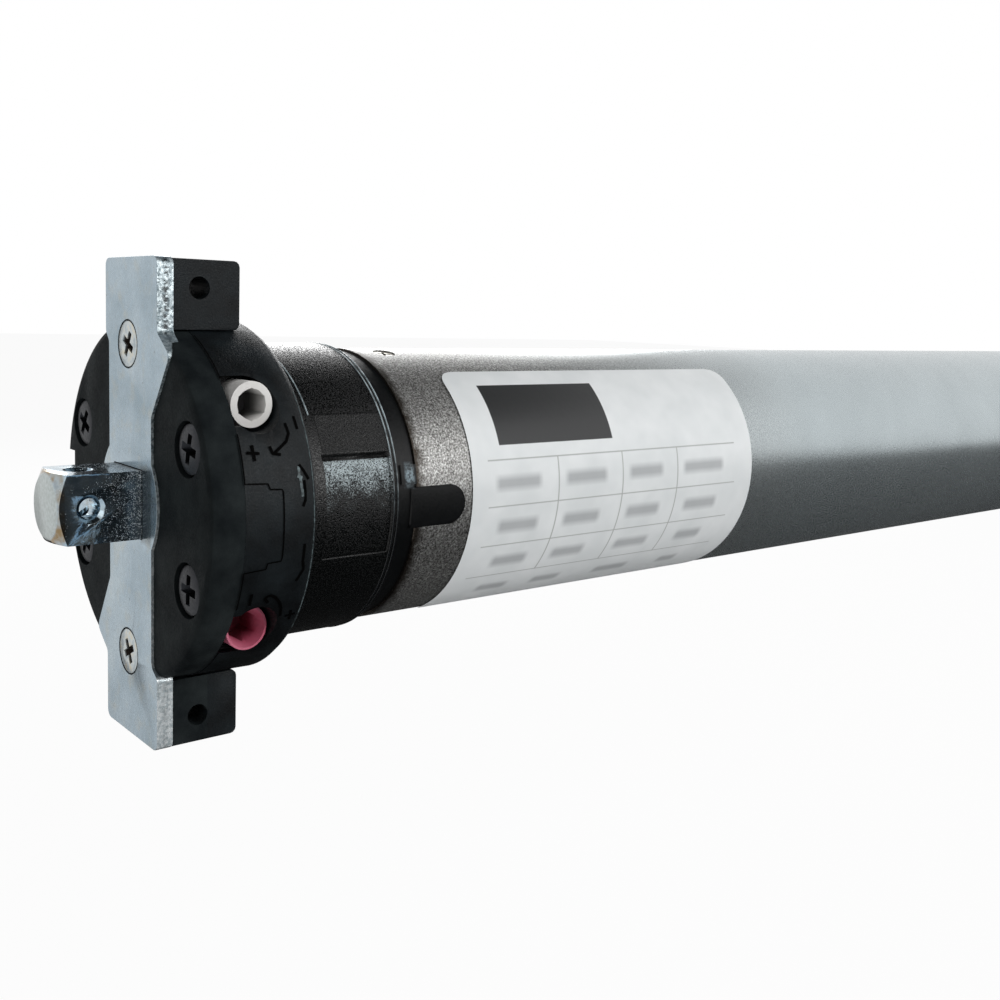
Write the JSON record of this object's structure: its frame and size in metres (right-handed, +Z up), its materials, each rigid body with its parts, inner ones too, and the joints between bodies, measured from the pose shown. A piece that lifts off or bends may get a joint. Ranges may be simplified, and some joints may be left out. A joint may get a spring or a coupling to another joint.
{
  "type": "tubular roller blind motor",
  "caption": "Tubular motor with a square mounting pin, steel head plate, black head with limit adjusters, crown ring, slim tube and flatted output shaft.",
  "frame": {"origin": "on the motor's axis at the outer face of the mounting plate", "axes": "+X along the axis towards the output shaft, +Z up through the plate's upper end, -Y on the side with the two adjusters"},
  "size_m": [0.4885, 0.054, 0.071],
  "materials": {
    "black_screw": "blackened screw",
    "brass": "turned brass",
    "bronze": "sintered bronze",
    "capacitor_can": "pale grey moulded can",
    "carrier_metal": "die-cast zinc",
    "copper_winding": "varnished copper wire",
    "crown_plastic": "black, semi-gloss",
    "friction": "brown friction lining",
    "gear_plastic": "natural nylon",
    "gear_steel": "sintered steel",
    "head_plastic": "matte black glass-filled nylon",
    "inner_plastic": "black moulded nylon",
    "label_film": "white film, satin",
    "lamination": "stacked electrical sheet",
    "pin_steel": "bright drawn square bar",
    "plunger_plastic": "red acetal",
    "red_plastic": "pinkish red acetal",
    "screw_steel": "zinc-plated screw",
    "shaft_steel": "ground steel",
    "shield_aluminium": "die-cast",
    "socket_plastic": "off-white nylon",
    "spring_steel": "spring steel",
    "switch_plastic": "black phenolic",
    "tube_steel": "galvanised tube with a fine sand-grained skin",
    "white_plastic": "white acetal",
    "zinc_steel": "satin zinc-plated pressed steel"
  },
  "bodies": {
    "head": {"mounting_plate": "zinc_steel", "square_pin": "pin_steel", "plate_screws": "screw_steel", "head_cover": "head_plastic", "head_body": "head_plastic", "cover_screws": "black_screw", "cable_socket": "socket_plastic", "limit_housing": "inner_plastic", "housing_screws": "screw_steel", "limit_switches": "switch_plastic", "limit_end_plate": "inner_plastic", "motor_tube": "tube_steel", "rating_label": "label_film", "tube_screws": "screw_steel", "run_capacitor": "capacitor_can", "capacitor_holder": "inner_plastic", "front_end_shield": "shield_aluminium", "stator_core": "lamination", "stator_windings": "copper_winding", "rear_end_shield": "shield_aluminium", "rotor_bearings": "shaft_steel", "brake_magnet": "copper_winding", "ring_gear": "gear_steel", "output_bearing": "bronze", "end_cap": "head_plastic", "brake_spring": "spring_steel"},
    "crown": {"crown_ring": "crown_plastic"},
    "white_adjuster": {"white_adjuster": "white_plastic"},
    "red_adjuster": {"red_adjuster": "red_plastic"},
    "white_rod": {"white_threaded_rod": "brass"},
    "red_rod": {"red_threaded_rod": "brass"},
    "white_setting": {"white_setting_shaft": "white_plastic"},
    "red_setting": {"red_setting_shaft": "red_plastic"},
    "white_striker": {"white_striker": "white_plastic"},
    "red_striker": {"red_striker": "red_plastic"},
    "white_nut": {"white_limit_nut": "white_plastic"},
    "red_nut": {"red_limit_nut": "red_plastic"},
    "white_plunger": {"white_plunger": "plunger_plastic"},
    "red_plunger": {"red_plunger": "plunger_plastic"},
    "brake_armature": {"brake_armature": "gear_steel"},
    "rotor": {"rotor_core": "lamination", "rotor_shaft": "shaft_steel", "brake_disc": "friction"},
    "carrier_1": {"carrier_1": "carrier_metal", "planet_pins_1": "shaft_steel"},
    "carrier_2": {"carrier_2": "carrier_metal", "planet_pins_2": "shaft_steel"},
    "output": {"output_shaft": "shaft_steel", "planet_pins_3": "shaft_steel", "shaft_circlip": "black_screw"},
    "planet_1a": {"planet_1a": "gear_plastic"},
    "planet_1b": {"planet_1b": "gear_plastic"},
    "planet_1c": {"planet_1c": "gear_plastic"},
    "planet_2a": {"planet_2a": "gear_steel"},
    "planet_2b": {"planet_2b": "gear_steel"},
    "planet_2c": {"planet_2c": "gear_steel"},
    "planet_3a": {"planet_3a": "gear_steel"},
    "planet_3b": {"planet_3b": "gear_steel"},
    "planet_3c": {"planet_3c": "gear_steel"}
  },
  "joints": [
    {"name": "crown_turn", "type": "hinge", "parent": "head", "child": "crown", "pos_m": [0.02, 0, 0], "axis": [1, 0, 0], "range_deg": [-1351.3, 1351.3]},
    {"name": "rotor_turn", "type": "hinge", "parent": "head", "child": "rotor", "pos_m": [0.2, 0, 0], "axis": [1, 0, 0], "continuous": true},
    {"name": "white_adjuster_turn", "type": "hinge", "parent": "head", "child": "white_adjuster", "pos_m": [0.0088, -0.022, 0.0157], "axis": [0, 1, 0], "continuous": true},
    {"name": "white_rod_turn", "type": "hinge", "parent": "head", "child": "white_rod", "pos_m": [0.03, -0.00876, 0.0076], "axis": [1, 0, 0], "range_deg": [-4152.4, 4152.4]},
    {"name": "white_setting_turn", "type": "hinge", "parent": "head", "child": "white_setting", "pos_m": [0.03, -0.0005, 0.0096], "axis": [1, 0, 0], "continuous": true},
    {"name": "white_striker_travel", "type": "slide", "parent": "head", "child": "white_striker", "axis": [1, 0, 0], "range_m": [-0.0081, 0.0081]},
    {"name": "white_nut_turn", "type": "hinge", "parent": "white_striker", "child": "white_nut", "pos_m": [0.04, -0.00876, 0.0076], "axis": [1, 0, 0], "continuous": true},
    {"name": "red_adjuster_turn", "type": "hinge", "parent": "head", "child": "red_adjuster", "pos_m": [0.0088, -0.022, -0.0157], "axis": [0, 1, 0], "continuous": true},
    {"name": "red_rod_turn", "type": "hinge", "parent": "head", "child": "red_rod", "pos_m": [0.03, -0.00876, -0.0076], "axis": [1, 0, 0], "range_deg": [-4152.4, 4152.4]},
    {"name": "red_setting_turn", "type": "hinge", "parent": "head", "child": "red_setting", "pos_m": [0.03, -0.0005, -0.0096], "axis": [1, 0, 0], "continuous": true},
    {"name": "red_striker_travel", "type": "slide", "parent": "head", "child": "red_striker", "axis": [1, 0, 0], "range_m": [-0.0081, 0.0081]},
    {"name": "red_nut_turn", "type": "hinge", "parent": "red_striker", "child": "red_nut", "pos_m": [0.04, -0.00876, -0.0076], "axis": [1, 0, 0], "continuous": true},
    {"name": "white_plunger_press", "type": "slide", "parent": "head", "child": "white_plunger", "axis": [1, 0, 0], "range_m": [0, 0.0006], "stiffness_N_per_m": 100},
    {"name": "red_plunger_press", "type": "slide", "parent": "head", "child": "red_plunger", "axis": [-1, 0, 0], "range_m": [0, 0.0006], "stiffness_N_per_m": 100},
    {"name": "brake_armature_lift", "type": "slide", "parent": "head", "child": "brake_armature", "axis": [1, 0, 0], "range_m": [0, 0.0005], "stiffness_N_per_m": 200},
    {"name": "carrier_1_turn", "type": "hinge", "parent": "head", "child": "carrier_1", "pos_m": [0.3, 0, 0], "axis": [1, 0, 0], "continuous": true},
    {"name": "carrier_2_turn", "type": "hinge", "parent": "head", "child": "carrier_2", "pos_m": [0.33, 0, 0], "axis": [1, 0, 0], "continuous": true},
    {"name": "output_turn", "type": "hinge", "parent": "head", "child": "output", "pos_m": [0.36, 0, 0], "axis": [1, 0, 0], "continuous": true},
    {"name": "planet_1a_turn", "type": "hinge", "parent": "carrier_1", "child": "planet_1a", "pos_m": [0.32, 0.01073, 0], "axis": [1, 0, 0], "continuous": true},
    {"name": "planet_1b_turn", "type": "hinge", "parent": "carrier_1", "child": "planet_1b", "pos_m": [0.32, -0.00536, 0.00929], "axis": [1, 0, 0], "continuous": true},
    {"name": "planet_1c_turn", "type": "hinge", "parent": "carrier_1", "child": "planet_1c", "pos_m": [0.32, -0.00536, -0.00929], "axis": [1, 0, 0], "continuous": true},
    {"name": "planet_2a_turn", "type": "hinge", "parent": "carrier_2", "child": "planet_2a", "pos_m": [0.34, 0.01073, 0], "axis": [1, 0, 0], "continuous": true},
    {"name": "planet_2b_turn", "type": "hinge", "parent": "carrier_2", "child": "planet_2b", "pos_m": [0.34, -0.00536, 0.00929], "axis": [1, 0, 0], "continuous": true},
    {"name": "planet_2c_turn", "type": "hinge", "parent": "carrier_2", "child": "planet_2c", "pos_m": [0.34, -0.00536, -0.00929], "axis": [1, 0, 0], "continuous": true},
    {"name": "planet_3a_turn", "type": "hinge", "parent": "output", "child": "planet_3a", "pos_m": [0.36, 0.01073, 0], "axis": [1, 0, 0], "continuous": true},
    {"name": "planet_3b_turn", "type": "hinge", "parent": "output", "child": "planet_3b", "pos_m": [0.36, -0.00536, 0.00929], "axis": [1, 0, 0], "continuous": true},
    {"name": "planet_3c_turn", "type": "hinge", "parent": "output", "child": "planet_3c", "pos_m": [0.36, -0.00536, -0.00929], "axis": [1, 0, 0], "continuous": true}
  ],
  "couplings": [
    {"joint": "white_rod_turn", "follows": "crown_turn", "ratio": 3.0714},
    {"joint": "white_striker_travel", "follows": "crown_turn", "m_per_rad": -0.00034218},
    {"joint": "red_rod_turn", "follows": "crown_turn", "ratio": 3.0714},
    {"joint": "red_striker_travel", "follows": "crown_turn", "m_per_rad": -0.00034218},
    {"joint": "white_setting_turn", "follows": "white_adjuster_turn", "ratio": 0.0625},
    {"joint": "red_setting_turn", "follows": "red_adjuster_turn", "ratio": 0.0625},
    {"joint": "white_nut_turn", "follows": "white_adjuster_turn", "ratio": -0.026042},
    {"joint": "red_nut_turn", "follows": "red_adjuster_turn", "ratio": -0.026042},
    {"joint": "carrier_1_turn", "follows": "rotor_turn", "ratio": 0.18182},
    {"joint": "carrier_2_turn", "follows": "rotor_turn", "ratio": 0.033058},
    {"joint": "output_turn", "follows": "rotor_turn", "ratio": 0.0060105},
    {"joint": "planet_1a_turn", "follows": "rotor_turn", "ratio": -0.46753},
    {"joint": "planet_1b_turn", "follows": "rotor_turn", "ratio": -0.46753},
    {"joint": "planet_1c_turn", "follows": "rotor_turn", "ratio": -0.46753},
    {"joint": "planet_2a_turn", "follows": "rotor_turn", "ratio": -0.085006},
    {"joint": "planet_2b_turn", "follows": "rotor_turn", "ratio": -0.085006},
    {"joint": "planet_2c_turn", "follows": "rotor_turn", "ratio": -0.085006},
    {"joint": "planet_3a_turn", "follows": "rotor_turn", "ratio": -0.015456},
    {"joint": "planet_3b_turn", "follows": "rotor_turn", "ratio": -0.015456},
    {"joint": "planet_3c_turn", "follows": "rotor_turn", "ratio": -0.015456}
  ]
}
